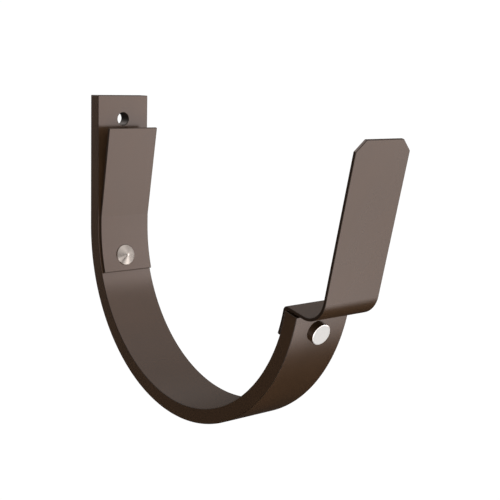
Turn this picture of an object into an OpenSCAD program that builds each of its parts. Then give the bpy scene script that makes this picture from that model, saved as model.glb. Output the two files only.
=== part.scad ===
// Hook bracket for a half-round gutter, screwed to a fascia board.
// X points away from the board, Y runs along the gutter and Z is up.
// The origin is the centre of the fixing hole on the board's face.

/* [Bar] */
// Width of the flat bar, along the gutter
bar_w = 25; // [20:0.5:40]
// Thickness of the flat bar
bar_t = 6; // [3:0.5:8]
// Radius of the bar's rolled edges
bar_edge_r = 0.3; // [0.2:0.1:1]
// Inner radius of the hook, which carries the gutter
gutter_r = 62.5; // [50:0.5:100]
// How far below the level of the hook's centre its front end stops, in degrees
end_angle = 12; // [0:1:30]

/* [Fixing] */
// Diameter of the fixing hole
hole_d = 5.5; // [4:0.1:9]
// Bar left above the fixing hole's centre
hole_margin = 10; // [7:0.5:25]
// Height of the fixing hole above the hook's centre
hole_rise = 46; // [44:0.5:90]

/* [Clips] */
// Thickness of the sheet that both clips are bent from
clip_t = 1.2; // [0.8:0.1:2]

/* [Rear clip] */
// How much narrower than the bar the rear clip is, on each side
rear_clip_inset = 0.5; // [0:0.1:2]
// How far the rear clip sits towards +Y
rear_clip_shift = 0.5; // [-1:0.1:1]
// Length of the rear clip that follows the hook's curve
rear_clip_wrap = 20.5; // [16:0.5:30]
// Length of the rear clip that lies flat on the bar's straight leg
rear_clip_flat = 3.5; // [1:0.5:8]
// Inside radius of the bend where the rear clip leaves the bar
rear_clip_bend_r = 6; // [2:0.5:15]
// Angle by which the rear clip's free end leans off the bar
rear_clip_lean = 9.6; // [4:0.2:15]
// Length of the rear clip's free end
rear_clip_free = 38.5; // [20:0.5:40]

/* [Front clip] */
// Length of the front clip that lies on the inside of the hook
front_clip_wrap = 9.4; // [9:0.1:20]
// Clear height between the bar's end and the shelf folded over it
shelf_gap = 0.8; // [0.4:0.1:2]
// Distance from the bar's outer face to the tongue's inner face
tongue_reach = 11; // [9:0.5:20]
// Inside radius of the bend between shelf and tongue
tongue_bend_r = 8; // [3:0.5:14]
// Straight length of the tongue
tongue_l = 56; // [30:1:80]
// Corner cut off each side of the tongue's top
tongue_chamfer = 4; // [1:0.5:9]

/* [Rivets] */
// Diameter of the rivet shanks
shank_d = 5; // [3:0.5:6]
// Gap all round a shank in its holes
shank_gap = 0.05; // [0.02:0.01:0.2]

/* [Rear rivet] */
// Distance of the rear rivet from the rear clip's riveted end
rear_rivet_inset = 7; // [6:0.5:9]
// Diameter of the rear rivet's pointed head
rear_head_d = 9.2; // [7:0.1:11]
// Height of the straight rim under the pointed head
rear_head_rim = 0.4; // [0.2:0.1:1]
// Slope of the pointed head's sides, in degrees
rear_head_slope = 23; // [15:1:45]
// Diameter of the small flat at the pointed head's tip
rear_head_tip_d = 1; // [0.4:0.1:2]
// Diameter of the countersunk tail, flush with the back of the bar
tail_d = 8; // [6.5:0.1:10]
// Depth of the countersunk tail
tail_depth = 1.6; // [0.8:0.1:2]

/* [Front rivet] */
// Distance of the front rivet from the bar's end
front_rivet_setback = 6; // [5.5:0.1:7]
// How far the front rivet sits towards +Y
front_rivet_shift = -1.6; // [-3:0.1:3]
// Diameter of the stub that stands out in front
stub_d = 8.1; // [6.5:0.1:10]
// Height of the stub in front of the bar
stub_h = 3; // [1:0.1:5]
// Bevel round the stub's end
stub_bevel = 0.3; // [0.1:0.1:0.8]
// Diameter of the low head on the inside
front_head_d = 6.4; // [6.2:0.1:8]
// Height of the low head on the inside
front_head_h = 1.2; // [0.6:0.1:2]

/* [Hidden] */
$fn = 96;
bar_outer_r = gutter_r + bar_t;
clip_face_r = gutter_r - clip_t;
rear_clip_w = bar_w - 2 * rear_clip_inset;
shank_r = shank_d / 2;
leg_top = hole_rise + hole_margin;
tongue_x = bar_outer_r + tongue_reach;
tongue_base = shelf_gap + clip_t + tongue_bend_r;
// Flat part of the shelf, between its two bends
shelf_l = tongue_x - tongue_bend_r - gutter_r - shelf_gap;
// Places along the hook, as angles round its centre: 180 is level with the
// centre on the leg's side, 270 is the bottom and 360 is level at the front
leg_end = 180;
front_end = 360 - end_angle;
rear_clip_end = leg_end + arc_angle(rear_clip_wrap);
rear_rivet_at = rear_clip_end - arc_angle(rear_rivet_inset);
front_clip_end = front_end - arc_angle(front_clip_wrap);
front_rivet_at = front_end - arc_angle(front_rivet_setback);
brown = [0.42, 0.36, 0.33];
steel = [0.75, 0.73, 0.71];
// Overrun of cutting shapes past the faces they cut
over = 1;
// Flats that make up the rear clip's slight bend
bend_steps = 6;

// Angle that a length takes up along the inside of the hook
function arc_angle(length) = length / gutter_r * 180 / PI;

// One side of the rear clip above the hook's curve, from the level of the hook's
// centre up: along the leg, round the bend at a given radius and up the free end
function rear_clip_side(radius) =
    let (centre = [rear_clip_bend_r - clip_face_r, rear_clip_flat])
    let (bend = [for (i = [0:bend_steps]) radius * toward(180 - rear_clip_lean * i / bend_steps)])
    let (end = bend[bend_steps] + rear_clip_free * toward(90 - rear_clip_lean))
    [[centre.x - radius, 0], for (p = bend) centre + p, centre + end];

// Unit vector at an angle from +X, in a side view
function toward(angle) = [cos(angle), sin(angle)];

function reversed(list) = [for (i = [len(list) - 1:-1:0]) list[i]];

// Moves shapes made about the hook's centre into the bracket's own frame
module about_hook() translate([bar_outer_r, 0, -hole_rise]) children();

// Turns shapes to a place on the hook: their +X points out from its centre
module at(angle) rotate([0, -angle, 0]) children();

// Sheet or bar bent about the Y axis, from a 2D section whose x is the radius
module bent(from, sweep) rotate([90, 0, 0]) rotate_extrude(start = from, angle = sweep) children();

module sheet_section(radius, w) translate([radius, -w / 2]) square([clip_t, w]);

// Section of the bar with its four rolled edges; x is across its thickness
module bar_section() {
    r = bar_edge_r;
    translate([0, r - bar_w / 2]) square([bar_t, bar_w - 2 * r]);
    translate([r, -bar_w / 2]) square([bar_t - 2 * r, bar_w]);
    for (x = [r, bar_t - r], y = [r - bar_w / 2, bar_w / 2 - r])
        translate([x, y]) circle(r);
}

// Everything within a radius of the hook's centre
module inside_of(radius) rotate([90, 0, 0])
    cylinder(r = radius, h = 2 * bar_w, center = true, $fn = 720);

// Hole for a shank, through bar and clip
module shank_hole() translate([clip_face_r - over, 0, 0]) rotate([0, 90, 0])
    cylinder(r = shank_r + shank_gap, h = bar_t + clip_t + 2 * over);

// Countersunk tail of the rear rivet, flaring out to the bar's outer face
module tail(gap) translate([bar_outer_r - tail_depth, 0, 0]) rotate([0, 90, 0])
    cylinder(r1 = shank_r + gap, r2 = tail_d / 2 + gap, h = tail_depth);

// Flat bar: a straight leg for the board and a hook for the gutter
module strap() color(brown) difference() {
    about_hook() union() {
        translate([-bar_outer_r, 0, 0]) linear_extrude(height = leg_top) bar_section();
        bent(leg_end, front_end - leg_end) translate([gutter_r, 0]) bar_section();
    }
    translate([-over, 0, 0]) rotate([0, 90, 0]) cylinder(d = hole_d, h = bar_t + 2 * over);
    about_hook() at(rear_rivet_at) union() {
        shank_hole();
        tail(shank_gap);
    }
    about_hook() translate([0, front_rivet_shift, 0]) at(front_rivet_at) shank_hole();
}

// Sheet clip at the back, bent over the gutter's rear edge by hand
module rear_clip() color(brown) about_hook() difference() {
    translate([0, rear_clip_shift, 0]) {
        bent(leg_end, rear_clip_end - leg_end) sheet_section(clip_face_r, rear_clip_w);
        rotate([90, 0, 0]) linear_extrude(height = rear_clip_w, center = true) polygon(concat(
            rear_clip_side(rear_clip_bend_r),
            reversed(rear_clip_side(rear_clip_bend_r + clip_t))
        ));
    }
    at(rear_rivet_at) shank_hole();
}

// Sheet clip at the front: folded over the bar's end into a shelf, then up
// into the tongue that is bent over the gutter's front bead by hand
module front_clip() color(brown) about_hook() difference() {
    at(front_end) union() {
        bent(front_clip_end - front_end, front_end - front_clip_end) sheet_section(clip_face_r, bar_w);
        translate([gutter_r + shelf_gap, 0, 0]) bent(90, 90) sheet_section(shelf_gap, bar_w);
        translate([gutter_r + shelf_gap, -bar_w / 2, shelf_gap]) cube([shelf_l, bar_w, clip_t]);
        translate([tongue_x - tongue_bend_r, 0, tongue_base])
            bent(270, 90) sheet_section(tongue_bend_r, bar_w);
        translate([tongue_x, 0, tongue_base]) tongue();
    }
    translate([0, front_rivet_shift, 0]) at(front_rivet_at) shank_hole();
}

// Straight part of the tongue, with its top corners cut off
module tongue() {
    half = bar_w / 2;
    cut = tongue_chamfer;
    rotate([90, 0, 90]) linear_extrude(height = clip_t) polygon([
        [-half, 0], [half, 0], [half, tongue_l - cut],
        [half - cut, tongue_l], [cut - half, tongue_l], [-half, tongue_l - cut]
    ]);
}

// Rear rivet: a pointed head on the clip and a tail flush with the bar's back
module rear_rivet() color(steel) about_hook() at(rear_rivet_at) union() {
    intersection() {
        inside_of(clip_face_r);
        translate([clip_face_r + over, 0, 0]) rotate([0, -90, 0]) pointed_head();
    }
    intersection() {
        inside_of(bar_outer_r);
        union() {
            shank(clip_face_r - rear_head_rim, bar_outer_r + over);
            tail(0);
        }
    }
}

// Cone on a short rim, with a blunt tip; it starts inside the clip's face
module pointed_head() {
    rim_h = over + rear_head_rim;
    cone_h = (rear_head_d - rear_head_tip_d) / 2 * tan(rear_head_slope);
    cylinder(d = rear_head_d, h = rim_h);
    translate([0, 0, rim_h]) cylinder(d1 = rear_head_d, d2 = rear_head_tip_d, h = cone_h);
}

// Shank between two distances from the hook's centre
module shank(inner, outer) translate([inner, 0, 0]) rotate([0, 90, 0])
    cylinder(r = shank_r, h = outer - inner);

// Front rivet: a low head inside the hook and a plain stub in front of it
module front_rivet() color(steel) about_hook() translate([0, front_rivet_shift, 0])
    at(front_rivet_at) union() {
        intersection() {
            inside_of(clip_face_r);
            translate([clip_face_r, 0, 0]) low_head();
        }
        shank(clip_face_r - front_head_h / 2, bar_outer_r + stub_h / 2);
        difference() {
            translate([bar_outer_r - over, 0, 0]) rotate([0, 90, 0]) stub();
            inside_of(bar_outer_r);
        }
    }

// Plain stub with a bevelled end; it starts below the bar's face
module stub() {
    straight_h = over + stub_h - stub_bevel;
    cylinder(d = stub_d, h = straight_h);
    translate([0, 0, straight_h]) cylinder(d1 = stub_d, d2 = stub_d - 2 * stub_bevel, h = stub_bevel);
}

// Low domed head: the cap of a sphere that rises front_head_h off its seat
module low_head() {
    head_r = front_head_d / 2;
    dome_r = (head_r * head_r + front_head_h * front_head_h) / (2 * front_head_h);
    translate([dome_r - front_head_h, 0, 0]) sphere(r = dome_r);
}

strap();
rear_clip();
front_clip();
rear_rivet();
front_rivet();
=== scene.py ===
"""Looks of a hook bracket for a half-round gutter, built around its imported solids.

Metres, in the part's own frame: X points away from the board, Y runs along the
gutter and Z is up. The origin is the centre of the fixing hole on the board's face.
"""

import math

import bmesh
import bpy
from mathutils import Matrix, Vector


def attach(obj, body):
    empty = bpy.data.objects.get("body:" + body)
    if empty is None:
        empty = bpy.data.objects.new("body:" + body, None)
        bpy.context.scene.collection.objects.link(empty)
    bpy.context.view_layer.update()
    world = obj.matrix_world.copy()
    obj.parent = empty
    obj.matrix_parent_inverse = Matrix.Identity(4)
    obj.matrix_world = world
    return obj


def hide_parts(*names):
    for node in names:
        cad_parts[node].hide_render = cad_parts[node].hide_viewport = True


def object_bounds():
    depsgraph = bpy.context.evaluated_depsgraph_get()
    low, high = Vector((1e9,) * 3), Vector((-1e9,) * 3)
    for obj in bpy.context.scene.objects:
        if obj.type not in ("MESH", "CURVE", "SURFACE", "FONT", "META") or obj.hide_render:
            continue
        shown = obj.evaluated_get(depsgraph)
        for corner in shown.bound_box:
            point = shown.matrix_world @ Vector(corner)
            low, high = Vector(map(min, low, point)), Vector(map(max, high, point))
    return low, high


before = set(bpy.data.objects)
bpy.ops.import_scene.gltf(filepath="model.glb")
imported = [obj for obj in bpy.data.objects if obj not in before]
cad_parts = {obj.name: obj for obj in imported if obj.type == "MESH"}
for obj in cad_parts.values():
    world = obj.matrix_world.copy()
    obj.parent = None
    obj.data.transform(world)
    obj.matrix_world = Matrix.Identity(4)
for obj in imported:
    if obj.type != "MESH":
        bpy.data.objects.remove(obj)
cad_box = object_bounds()

MM = 0.001
BODY = "root"

# Sizes of the bracket, in metres and degrees, as its solids have them. Only the rounding
# of the sheets' and holes' edges is finer here, and the rear clip's bend is sharper
BAR_W = 25 * MM
BAR_T = 6 * MM
BAR_EDGE = 0.3 * MM
HOOK_R = 62.5 * MM
LEG_TOP = 10 * MM
LEG_L = 56 * MM
FRONT_END = 348
HOLE_R = 2.75 * MM
SHEET_T = 1.2 * MM
SHEET_EDGE = 0.18 * MM
REAR_CLIP_W = 24 * MM
REAR_CLIP_Y = 0.5 * MM
REAR_WRAP = 20.5 * MM
REAR_LEAN = 9.6
# The bend is sharper than the solid's, or it would show as a dark line across the
# sheen; the flat part and the free end each take up what the bend gives
SOLID_BEND_R = 6 * MM
REAR_BEND_R = 2 * MM
SHARPER = (SOLID_BEND_R - REAR_BEND_R) * math.tan(math.radians(REAR_LEAN / 2))
REAR_FLAT = 3.5 * MM + SHARPER
REAR_FREE = 38.5 * MM + SHARPER
FRONT_WRAP = 9.4 * MM
FOLD_R = 0.8 * MM
SHELF_L = 8.2 * MM
TONGUE_BEND_R = 8 * MM
TONGUE_L = 56 * MM
TONGUE_CORNER = 4 * MM
SHANK_R = 2.5 * MM
REAR_RIVET_INSET = 7 * MM
HEAD_R = 4.6 * MM
HEAD_RIM = 0.4 * MM
HEAD_SLOPE = 23
TAIL_R = 4 * MM
TAIL_DEPTH = 1.6 * MM
FRONT_RIVET_SETBACK = 6 * MM
FRONT_RIVET_Y = -1.6 * MM
STUB_R = 4.05 * MM
STUB_H = 3 * MM
STUB_BEVEL = 0.3 * MM
LOW_HEAD_R = 3.2 * MM
LOW_HEAD_H = 1.2 * MM
RIVET_CLEARANCE = 0.05 * MM
HOLE_EDGE = 0.2 * MM

BAR_OUTER = HOOK_R + BAR_T
CLIP_FACE = HOOK_R - SHEET_T
HOOK = Vector((BAR_OUTER, 0, LEG_TOP - LEG_L))

# How finely bends are stepped, in degrees and steps
TURN_STEP = 1.5
FEWEST_STEPS = 8
DOME_STEPS = 8
# A face belongs to a rolled edge, and gets the painted edge shade, when its normal leans this far out
# along the gutter
EDGE_FROM = 0.05
# The bar's flat sides keep the plain coat, but the whole side of a sheet is a cut edge and gets the
# painted edge shade
BAR_EDGE_TO = 0.95
SHEET_EDGE_TO = 1.1
# Edges sharper than this are rounded after cutting, in degrees
ROUND_FROM = 35
# Edges sharper than this stay crisp on a rivet, in degrees
RIVET_CREASE = 20


def linear(hex_colour):
    """Linear RGBA of an sRGB hex colour."""
    parts = [int(hex_colour[i : i + 2], 16) / 255 for i in (1, 3, 5)]
    return [c / 12.92 if c <= 0.04045 else ((c + 0.055) / 1.055) ** 2.4 for c in parts] + [1]


def add(tree, kind, sockets=None, **settings):
    """Adds a node. sockets maps an input to its value, or to an output that feeds it."""
    made = tree.nodes.new(kind)
    for name, value in settings.items():
        setattr(made, name, value)
    for key, value in (sockets or {}).items():
        if isinstance(value, bpy.types.NodeSocket):
            tree.links.new(value, made.inputs[key])
        else:
            made.inputs[key].default_value = value
    return made


# ---------------------------------------------------------------- materials

CLOUD_ACROSS = 14 * MM
PEEL_ACROSS = 1.5 * MM
PEEL_DEPTH = 0.05 * MM
BLOOM_ACROSS = 1.2 * MM


def new_material(name):
    """A material with an empty tree, and that tree."""
    made = bpy.data.materials.new(name)
    made.use_nodes = True
    made.node_tree.nodes.clear()
    return made, made.node_tree


def finish_material(tree, **sockets):
    """Ends a tree in a Principled shader with these sockets."""
    named = {key.replace("_", " "): value for key, value in sockets.items()}
    shader = add(tree, "ShaderNodeBsdfPrincipled", named)
    add(tree, "ShaderNodeOutputMaterial", {"Surface": shader.outputs[0]})


def powder_coat(name, dark, light, smooth, rough, shine):
    """Polyester powder coat, sprayed and stoved on steel, with a fine orange peel."""
    made, tree = new_material(name)
    place = add(tree, "ShaderNodeTexCoord").outputs["Object"]
    cloud = add(tree, "ShaderNodeTexNoise", {"Vector": place, "Scale": 1 / CLOUD_ACROSS, "Detail": 3.0})
    tone = add(
        tree,
        "ShaderNodeMix",
        {"Factor": cloud.outputs["Fac"], "A": linear(dark), "B": linear(light)},
        data_type="RGBA",
    )
    peel = add(tree, "ShaderNodeTexNoise", {"Vector": place, "Scale": 1 / PEEL_ACROSS, "Detail": 2.0})
    skin = add(
        tree,
        "ShaderNodeBump",
        {"Height": peel.outputs["Fac"], "Strength": 0.1, "Distance": PEEL_DEPTH},
    )
    gloss = add(
        tree,
        "ShaderNodeMapRange",
        {"Value": cloud.outputs["Fac"], "To Min": smooth, "To Max": rough},
    )
    finish_material(
        tree,
        Base_Color=tone.outputs["Result"],
        Roughness=gloss.outputs["Result"],
        Specular_IOR_Level=shine,
        Specular_Tint=linear("#fff6f6"),
        Normal=skin.outputs["Normal"],
    )
    return made


def bare_metal(name, dark, light, smooth, rough):
    """Bare metal whose tone and sheen drift between two values over a millimetre or so."""
    made, tree = new_material(name)
    place = add(tree, "ShaderNodeTexCoord").outputs["Object"]
    bloom = add(tree, "ShaderNodeTexNoise", {"Vector": place, "Scale": 1 / BLOOM_ACROSS, "Detail": 4.0})
    tone = add(
        tree,
        "ShaderNodeMix",
        {"Factor": bloom.outputs["Fac"], "A": linear(dark), "B": linear(light)},
        data_type="RGBA",
    )
    gloss = add(
        tree,
        "ShaderNodeMapRange",
        {"Value": bloom.outputs["Fac"], "To Min": smooth, "To Max": rough},
    )
    finish_material(
        tree,
        Base_Color=tone.outputs["Result"],
        Metallic=1.0,
        Roughness=gloss.outputs["Result"],
    )
    return made


# Half glossy and nearly black-brown in itself: on a lit face the eye sees a broad,
# warm grey-brown sheen, broken up by the orange peel
COAT = powder_coat("powder_coated_steel", "#2f2318", "#38291c", 0.17, 0.23, 0.535)
# The same coat, darker and nearly without shine, on rolled and cut edges and on the
# walls of holes: painted shade, so that the eye sees a fine dark line round each piece
EDGE_SHADE_COAT = powder_coat("coat_with_painted_edge_shade", "#1d150e", "#241a12", 0.35, 0.45, 0.2)
# Aluminium rivet, pressed and left dull: its pointed head catches light in soft sectors
DULL_METAL = bare_metal("dull_aluminium", "#9a9692", "#aba7a3", 0.24, 0.32)
# Zinc-plated steel, bright and slightly cool on the stub's end
BRIGHT_METAL = bare_metal("bright_zinc_plate", "#adb0b1", "#babdbe", 0.4, 0.5)
# The same zinc, made lighter on the stub's bevelled rim: a painted highlight
RIM_HIGHLIGHT_METAL = bare_metal("zinc_with_painted_rim_highlight", "#dcdcdc", "#efefef", 0.4, 0.5)

# ------------------------------------------------------------ pieces in sheet


def side_view(start, heading, moves):
    """Points of a path in the side view, from lengths and bends.

    A move is a length, or a (radius, angle) pair; a positive angle turns left.
    """
    at = Vector(start)
    points = [at]
    for move in moves:
        if isinstance(move, tuple):
            radius, angle = move
            side = math.copysign(1, angle)
            to_centre = math.radians(heading + 90 * side)
            centre = at + radius * Vector((math.cos(to_centre), math.sin(to_centre)))
            steps = max(math.ceil(abs(angle) / TURN_STEP), FEWEST_STEPS)
            for i in range(1, steps + 1):
                a = math.radians(heading + angle * i / steps) - side * math.pi / 2
                points.append(centre + radius * Vector((math.cos(a), math.sin(a))))
            heading += angle
            at = points[-1]
        else:
            a = math.radians(heading)
            at = at + move * Vector((math.cos(a), math.sin(a)))
            points.append(at)
    return points


def flat_stock_tree():
    """Geometry Nodes that sweep a flat section with rounded edges along a side view."""
    tree = bpy.data.node_groups.new("flat_stock_along_path", "GeometryNodeTree")
    face = tree.interface
    face.new_socket("Geometry", in_out="OUTPUT", socket_type="NodeSocketGeometry")
    face.new_socket("Geometry", in_out="INPUT", socket_type="NodeSocketGeometry")
    for name in ("Thickness", "Width", "Edge radius", "Across", "Side limit"):
        face.new_socket(name, in_out="INPUT", socket_type="NodeSocketFloat")
    for name in ("Material", "Edge material"):
        face.new_socket(name, in_out="INPUT", socket_type="NodeSocketMaterial")
    given = add(tree, "NodeGroupInput").outputs
    path = add(tree, "GeometryNodeMeshToCurve", {"Mesh": given["Geometry"]})
    section = add(
        tree,
        "GeometryNodeCurvePrimitiveQuadrilateral",
        {"Width": given["Thickness"], "Height": given["Width"]},
    )
    rounded = add(
        tree,
        "GeometryNodeFilletCurve",
        {"Curve": section.outputs[0], "Radius": given["Edge radius"], "Count": 4},
        mode="POLY",
    )
    swept = add(
        tree,
        "GeometryNodeCurveToMesh",
        {"Curve": path.outputs[0], "Profile Curve": rounded.outputs[0], "Fill Caps": True},
    )
    shift = add(tree, "ShaderNodeCombineXYZ", {"Y": given["Across"]})
    upright = add(
        tree,
        "GeometryNodeTransform",
        {"Geometry": swept.outputs[0], "Rotation": (math.pi / 2, 0, 0), "Translation": shift.outputs[0]},
    )
    real = add(tree, "GeometryNodeRealizeInstances", {"Geometry": upright.outputs[0]})
    coated = add(
        tree,
        "GeometryNodeSetMaterial",
        {"Geometry": real.outputs[0], "Material": given["Material"]},
    )
    normal = add(tree, "GeometryNodeInputNormal").outputs[0]
    across = add(tree, "ShaderNodeSeparateXYZ", {"Vector": normal}).outputs["Y"]
    tilt = add(tree, "ShaderNodeMath", {0: across}, operation="ABSOLUTE").outputs[0]
    off_flat = add(tree, "ShaderNodeMath", {0: tilt, 1: EDGE_FROM}, operation="GREATER_THAN")
    below = add(tree, "ShaderNodeMath", {0: tilt, 1: given["Side limit"]}, operation="LESS_THAN")
    rolled = add(
        tree, "ShaderNodeMath", {0: off_flat.outputs[0], 1: below.outputs[0]}, operation="MULTIPLY"
    )
    # Faces of rolled and cut edges take the edge material, a darker coat that paints shade
    edged = add(
        tree,
        "GeometryNodeSetMaterial",
        {
            "Geometry": coated.outputs[0],
            "Selection": rolled.outputs[0],
            "Material": given["Edge material"],
        },
    )
    add(tree, "NodeGroupOutput", {"Geometry": edged.outputs[0]})
    return tree


FLAT_STOCK = flat_stock_tree()
SHEET = {"Thickness": SHEET_T, "Edge radius": SHEET_EDGE, "Side limit": SHEET_EDGE_TO}


def link(mesh, name):
    """An object of this mesh, placed in the scene."""
    made = bpy.data.objects.new(name, mesh)
    bpy.context.scene.collection.objects.link(made)
    return made


def plain(source, name):
    """A plain mesh object of what a finished stack of modifiers gives; the source goes."""
    graph = bpy.context.evaluated_depsgraph_get()
    mesh = bpy.data.meshes.new_from_object(source.evaluated_get(graph), depsgraph=graph)
    mesh.name = name
    bpy.data.objects.remove(source, do_unlink=True)
    return link(mesh, name)


def swept_stock(name, path, across=0.0, **sizes):
    """Flat stock bent along a side view, as a plain mesh."""
    mesh = bpy.data.meshes.new(name + "_path")
    edges = [(i, i + 1) for i in range(len(path) - 1)]
    mesh.from_pydata([(p.x, p.y, 0) for p in path], edges, [])
    source = link(mesh, name + "_path")
    sweep = source.modifiers.new("stock", "NODES")
    sweep.node_group = FLAT_STOCK
    given = {"Across": across, "Material": COAT, "Edge material": EDGE_SHADE_COAT, **sizes}
    for item in FLAT_STOCK.interface.items_tree:
        if item.in_out == "INPUT" and item.name in given:
            sweep[item.identifier] = given[item.name]
    return plain(source, name)


def solid_of_revolution(name, outline, place, steps=64):
    """A cutter or rivet turned from an outline of (radius, height) about its own Z."""
    mesh = bpy.data.meshes.new(name)
    work = bmesh.new()
    rings = []
    for radius, height in outline:
        if radius == 0:
            rings.append([work.verts.new((0, 0, height))])
            continue
        turns = [2 * math.pi * i / steps for i in range(steps)]
        ring = [(radius * math.cos(a), radius * math.sin(a), height) for a in turns]
        rings.append([work.verts.new(corner) for corner in ring])
    for low, high in zip(rings, rings[1:]):
        for i in range(steps):
            j = (i + 1) % steps
            corners = [low[i % len(low)], low[j % len(low)], high[j % len(high)], high[i % len(high)]]
            work.faces.new(list(dict.fromkeys(corners)))
    bmesh.ops.recalc_face_normals(work, faces=work.faces[:])
    bmesh.ops.transform(work, matrix=place, verts=work.verts[:])
    work.to_mesh(mesh)
    work.free()
    return link(mesh, name)


def on_hook(angle, radius, across=0.0, outwards=True):
    """Place on the hook: Z points out from its centre (or in), X runs along the gutter."""
    a = math.radians(angle)
    out = Vector((math.cos(a), 0, math.sin(a)))
    z = out if outwards else -out
    x = Vector((0, 1, 0))
    y = z.cross(x)
    turn = Matrix((x, y, z)).transposed().to_4x4()
    return Matrix.Translation(HOOK + out * radius + Vector((0, across, 0))) @ turn


def cut_away(piece, cutters, edge):
    """Cuts the cutters' shapes out of a piece and rounds every sharp edge that is left."""
    for cutter in cutters:
        cut = piece.modifiers.new("cut", "BOOLEAN")
        cut.object = cutter
        cut.solver = "EXACT"
        cut.material_mode = "TRANSFER"
    soften = piece.modifiers.new("edge", "BEVEL")
    soften.width = edge
    soften.segments = 3
    soften.limit_method = "ANGLE"
    soften.angle_limit = math.radians(ROUND_FROM)
    soften.use_clamp_overlap = False
    # The rounded faces take the darker coat: painted edge shade
    soften.material = piece.data.materials.find(EDGE_SHADE_COAT.name)
    level = piece.modifiers.new("level", "WEIGHTED_NORMAL")
    level.keep_sharp = True
    for face in piece.data.polygons:
        face.use_smooth = True
    done = plain(piece, piece.name.removesuffix("_raw"))
    for cutter in cutters:
        bpy.data.objects.remove(cutter, do_unlink=True)
    return done


def degrees_along(length):
    """Angle that a length takes up along the inside of the hook."""
    return math.degrees(length / HOOK_R)


# Places round the hook, in degrees
REAR_END = 180 + degrees_along(REAR_WRAP)
REAR_RIVET_AT = REAR_END - degrees_along(REAR_RIVET_INSET)
FRONT_START = FRONT_END - degrees_along(FRONT_WRAP)
FRONT_RIVET_AT = FRONT_END - degrees_along(FRONT_RIVET_SETBACK)


def polar(radius, angle):
    """Point in the side view, from a radius and an angle round the hook's centre."""
    a = math.radians(angle)
    return Vector((HOOK.x + radius * math.cos(a), HOOK.z + radius * math.sin(a)))


def build_strap():
    """Flat bar: down the leg, then round the hook to its front end."""
    path = side_view((BAR_T / 2, LEG_TOP), -90, [LEG_L, (HOOK_R + BAR_T / 2, FRONT_END - 180)])
    sizes = {"Thickness": BAR_T, "Width": BAR_W, "Edge radius": BAR_EDGE, "Side limit": BAR_EDGE_TO}
    raw = swept_stock("strap_raw", path, **sizes)
    along_x = Matrix.Rotation(math.pi / 2, 4, "Y")
    reach = 1 * MM
    hole = solid_of_revolution(
        "hole", [(0, -reach), (HOLE_R, -reach), (HOLE_R, BAR_T + reach), (0, BAR_T + reach)], along_x
    )
    flare = TAIL_R + RIVET_CLEARANCE
    slope = (flare - SHANK_R) / TAIL_DEPTH
    sunk = [
        (0, -TAIL_DEPTH),
        (SHANK_R, -TAIL_DEPTH),
        (flare + reach * slope, reach),
        (0, reach),
    ]
    countersink = solid_of_revolution("countersink", sunk, on_hook(REAR_RIVET_AT, BAR_OUTER))
    # The walls of the hole and countersink take the darker coat: painted edge shade
    for cutter in (hole, countersink):
        cutter.data.materials.append(EDGE_SHADE_COAT)
    return cut_away(raw, [hole, countersink], HOLE_EDGE)


def build_rear_clip():
    """Thin sheet up the inside of the leg, its free end leaning off it."""
    mid = HOOK_R - SHEET_T / 2
    path = side_view(
        polar(mid, REAR_END),
        REAR_END - 90,
        [(mid, 180 - REAR_END), REAR_FLAT, (REAR_BEND_R + SHEET_T / 2, -REAR_LEAN), REAR_FREE],
    )
    sizes = {"Width": REAR_CLIP_W, **SHEET}
    raw = swept_stock("rear_clip_raw", path, across=REAR_CLIP_Y, **sizes)
    return cut_away(raw, [], SHEET_EDGE)


def build_front_clip():
    """Thin sheet from inside the hook, over the bar's end and up into the tongue."""
    mid = HOOK_R - SHEET_T / 2
    path = side_view(
        polar(mid, FRONT_START),
        FRONT_START + 90,
        [
            (mid, FRONT_END - FRONT_START),
            (FOLD_R + SHEET_T / 2, -90),
            SHELF_L,
            (TONGUE_BEND_R + SHEET_T / 2, 90),
            TONGUE_L,
        ],
    )
    sizes = {"Width": BAR_W, **SHEET}
    raw = swept_stock("front_clip_raw", path, **sizes)
    up = (path[-1] - path[-2]).normalized()
    top = Vector((path[-1].x, 0, path[-1].y))
    work = bmesh.new()
    work.from_mesh(raw.data)
    for side in (1, -1):
        corner = top + Vector((0, side * (BAR_W / 2 - TONGUE_CORNER), 0))
        outwards = Vector((up.x, side, up.y))
        whole = work.verts[:] + work.edges[:] + work.faces[:]
        cut = bmesh.ops.bisect_plane(
            work, geom=whole, plane_co=corner, plane_no=outwards, clear_outer=True
        )
        rim = [e for e in cut["geom_cut"] if isinstance(e, bmesh.types.BMEdge)]
        bmesh.ops.edgenet_fill(work, edges=rim)
    work.to_mesh(raw.data)
    work.free()
    return cut_away(raw, [], SHEET_EDGE)


# ------------------------------------------------------------------- rivets


def smooth_by_angle(piece, angle):
    """Shades a piece smooth, apart from edges sharper than the angle in degrees."""
    for face in piece.data.polygons:
        face.use_smooth = True
    piece.data.set_sharp_from_angle(angle=math.radians(angle))
    return piece


def join(name, parts):
    """One piece of several meshes that all sit at the origin."""
    work = bmesh.new()
    slots = []
    for part in parts:
        offset = len(slots)
        slots += [s.material for s in part.material_slots]
        before = len(work.faces)
        work.from_mesh(part.data)
        work.faces.ensure_lookup_table()
        for face in work.faces[before:]:
            face.material_index += offset
    mesh = bpy.data.meshes.new(name)
    work.to_mesh(mesh)
    work.free()
    for material in slots:
        mesh.materials.append(material)
    for part in parts:
        bpy.data.objects.remove(part, do_unlink=True)
    return link(mesh, name)


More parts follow.
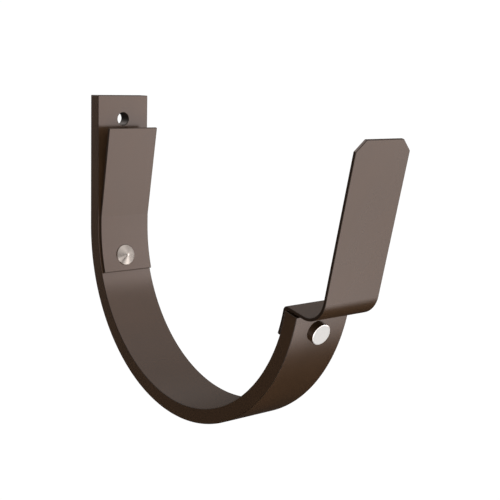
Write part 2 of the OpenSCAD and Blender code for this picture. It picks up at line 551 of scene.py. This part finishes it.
def build_rear_rivet():
    """Pointed head on the clip, and a tail flush with the back of the bar."""
    sink = 0.2 * MM
    slope = math.tan(math.radians(HEAD_SLOPE))
    tip_r = 0.9 * MM
    tip = HEAD_RIM + (HEAD_R - tip_r) * slope
    shoulder = (HEAD_R - 0.28 * MM, HEAD_RIM)
    # A straight slope, then a tip that is rounded off
    cone = [
        shoulder,
        (tip_r, tip),
        (tip_r * 0.6, tip + 0.14 * MM),
        (tip_r * 0.3, tip + 0.2 * MM),
        (0, tip + 0.21 * MM),
    ]
    on_clip = on_hook(REAR_RIVET_AT, CLIP_FACE, outwards=False)
    rim = solid_of_revolution("rim", [(0, -sink), (HEAD_R, -sink), (HEAD_R, 0.1 * MM), shoulder], on_clip)
    rim.data.materials.append(COAT)
    head = solid_of_revolution("head", cone, on_clip)
    # Almost flat, with a soft rim, just inside the back of the bar
    tail_outline = [
        (0, -TAIL_DEPTH),
        (SHANK_R, -TAIL_DEPTH),
        (TAIL_R - 0.06 * MM, -0.18 * MM),
        (TAIL_R - 0.15 * MM, -0.12 * MM),
        (TAIL_R * 0.6, -0.05 * MM),
        (0, -0.03 * MM),
    ]
    tail = solid_of_revolution("tail", tail_outline, on_hook(REAR_RIVET_AT, BAR_OUTER))
    for part in (head, tail):
        part.data.materials.append(DULL_METAL)
    return smooth_by_angle(join("rear_rivet", [rim, head, tail]), angle=RIVET_CREASE)


def build_front_rivet():
    """Stub in front of the hook, coated round its side, and a low head inside."""
    sink = 0.3 * MM
    place = on_hook(FRONT_RIVET_AT, BAR_OUTER, FRONT_RIVET_Y)
    shoulder = (STUB_R - 0.1 * MM, STUB_H - 0.12 * MM)
    flat = (STUB_R - STUB_BEVEL, STUB_H)
    turned = {
        "stub_side": ([(0, -sink), (STUB_R, -sink), (STUB_R, STUB_H - STUB_BEVEL), shoulder], COAT),
        # The rim takes the lighter zinc: a painted highlight
        "stub_rim": ([shoulder, flat], RIM_HIGHLIGHT_METAL),
        "stub_end": ([flat, (0, STUB_H)], BRIGHT_METAL),
    }
    parts = []
    for name, (outline, material) in turned.items():
        parts.append(solid_of_revolution(name, outline, place))
        parts[-1].data.materials.append(material)
    dome_r = (LOW_HEAD_R**2 + LOW_HEAD_H**2) / (2 * LOW_HEAD_H)
    half = math.asin(LOW_HEAD_R / dome_r)
    dome = [(0, -sink), (LOW_HEAD_R, -sink), (LOW_HEAD_R, 0)]
    for i in range(1, DOME_STEPS):
        a = half * (1 - i / DOME_STEPS)
        dome.append((dome_r * math.sin(a), LOW_HEAD_H - dome_r * (1 - math.cos(a))))
    dome.append((0, LOW_HEAD_H))
    inner = solid_of_revolution(
        "inner_head", dome, on_hook(FRONT_RIVET_AT, CLIP_FACE, FRONT_RIVET_Y, outwards=False)
    )
    inner.data.materials.append(BRIGHT_METAL)
    return smooth_by_angle(join("front_rivet", [*parts, inner]), angle=RIVET_CREASE)


PIECES = {
    "strap": (build_strap, "brown_coat"),
    "rear_clip": (build_rear_clip, "brown_coat"),
    "front_clip": (build_front_clip, "brown_coat"),
    "rear_rivet": (build_rear_rivet, "bare_steel"),
    "front_rivet": (build_front_rivet, "bare_steel"),
}
for node, (build, slot) in PIECES.items():
    piece = build()
    piece.name = node + "_piece"
    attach(piece, BODY)
    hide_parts(node)
    if node == "front_rivet":
        # The coat round the stub's foot stays clear of its shadow and mirror image
        piece.visible_shadow = False
        piece.visible_glossy = False

# ------------------------------------------------------- camera, light, floor

# Place, angles in degrees and lens in mm, as a separate fit of the camera gave them
CAMERA_AT = Vector((0.39341, -0.24643, 0.0228))
CAMERA_YAW = 39.502
CAMERA_PITCH = 9.792
CAMERA_ROLL = 1.603
CAMERA_LENS = 75.57


def build_camera():
    """Front right of the bracket, a little above it."""
    yaw, pitch, roll = (math.radians(a) for a in (CAMERA_YAW, CAMERA_PITCH, CAMERA_ROLL))
    ahead = Vector(
        (-math.cos(yaw) * math.cos(pitch), math.sin(yaw) * math.cos(pitch), -math.sin(pitch))
    )
    level_right = ahead.cross(Vector((0, 0, 1))).normalized()
    level_up = level_right.cross(ahead)
    right = math.cos(roll) * level_right + math.sin(roll) * level_up
    up = -math.sin(roll) * level_right + math.cos(roll) * level_up
    data = bpy.data.cameras.new("camera")
    data.sensor_width = 36
    data.lens = CAMERA_LENS
    data.clip_start = 0.01
    made = bpy.data.objects.new("camera", data)
    turn = Matrix((right, up, -ahead)).transposed().to_4x4()
    made.matrix_world = Matrix.Translation(CAMERA_AT) @ turn
    bpy.context.scene.collection.objects.link(made)
    bpy.context.scene.camera = made


# Lamps of the studio: angle round from +X towards +Y, elevation, focus, level.
# All rows but the last two come from a separate program, which picked the lamps and set
# their levels by a least-squares fit to the tones wanted on each face. The last two
# light the back and were set one by one
SOFT_LAMPS = [
    (0, 90, 3, 1.24),
    (25, -50, 20, 1.07),
    (-50, -25, 20, 5.07),
    (-25, -25, 20, 4.98),
    (25, -25, 20, 1.20),
    (50, 0, 20, 4.71),
    (0, 25, 20, 1.20),
    (50, 25, 20, 0.69),
    (25, 50, 20, 0.75),
    (75, 50, 20, 0.29),
    (62, 12, 40, 2.86),
    (35, -20, 100, 1.58),
    (37, 20, 100, 0.98),
    (38, 24, 200, 1.65),
    (50, -22, 100, 0.38),
    (52, -28, 200, 1.18),
    (28, -5, 100, 1.09),
    (28, 10, 100, 1.46),
    (40, -40, 100, 3.42),
    (48, -40, 100, 2.07),
    (-170, 40, 12, 2.50),
    (180, 0, 12, 0.30),
]
LAMP_TINT = (1.066, 0.99, 0.948)

# Floor and wall, in metres; the glow is just enough to come out as clean white
FLOOR_DROP = 0.25
FLOOR_X = 0.08
FLOOR_R = 3.0
SWEEP_R = 1.0
SWEEP_STEPS = 12
WALL_H = 4.0
ROOF_H = 6.0
FLOOR_GLOW = 1.03


def aim(angle, elevation):
    """Unit vector; angle is round from +X towards +Y, elevation above the horizon."""
    a, e = math.radians(angle), math.radians(elevation)
    return Vector((math.cos(a) * math.cos(e), math.sin(a) * math.cos(e), math.sin(e)))


def build_world():
    """Studio of large soft lamps, each a glow that fades away from its direction."""
    world = bpy.data.worlds.new("studio")
    bpy.context.scene.world = world
    world.use_nodes = True
    tree = world.node_tree
    tree.nodes.clear()
    way = add(tree, "ShaderNodeTexCoord").outputs["Generated"]
    total = 0.0
    for angle, elevation, focus, level in SOFT_LAMPS:
        towards = add(
            tree,
            "ShaderNodeVectorMath",
            {0: way, 1: aim(angle, elevation)},
            operation="DOT_PRODUCT",
        )
        fade = add(
            tree,
            "ShaderNodeMath",
            {0: towards.outputs["Value"], 1: focus, 2: -focus},
            operation="MULTIPLY_ADD",
        )
        glow = add(tree, "ShaderNodeMath", {0: fade.outputs[0]}, operation="EXPONENT")
        summed = add(
            tree,
            "ShaderNodeMath",
            {0: glow.outputs[0], 1: level, 2: total},
            operation="MULTIPLY_ADD",
        )
        total = summed.outputs[0]
    sky = add(tree, "ShaderNodeBackground", {"Color": (*LAMP_TINT, 1), "Strength": total})
    add(tree, "ShaderNodeOutputWorld", {"Surface": sky.outputs[0]})


def build_floor():
    """Pale floor that sweeps up into a wall all round and glows evenly."""
    outline = [(0, 0), (FLOOR_R, 0)]
    for i in range(1, SWEEP_STEPS + 1):
        a = math.pi / 2 * i / SWEEP_STEPS
        outline.append((FLOOR_R + SWEEP_R * math.sin(a), SWEEP_R * (1 - math.cos(a))))
    outline += [(FLOOR_R + SWEEP_R, WALL_H), (0, ROOF_H)]
    middle = Matrix.Translation((FLOOR_X, 0, cad_box[0].z - FLOOR_DROP))
    floor = solid_of_revolution("floor", outline, middle, steps=48)
    made, tree = new_material("lit_white_sweep")
    glow = add(tree, "ShaderNodeEmission", {"Color": linear("#ffffff"), "Strength": FLOOR_GLOW})
    add(tree, "ShaderNodeOutputMaterial", {"Surface": glow.outputs[0]})
    floor.data.materials.append(made)
    smooth_by_angle(floor, angle=30)
    floor.visible_diffuse = False
    floor.visible_glossy = False
    floor.visible_shadow = False


build_camera()
build_world()
build_floor()
bpy.context.scene.view_settings.view_transform = "Standard"
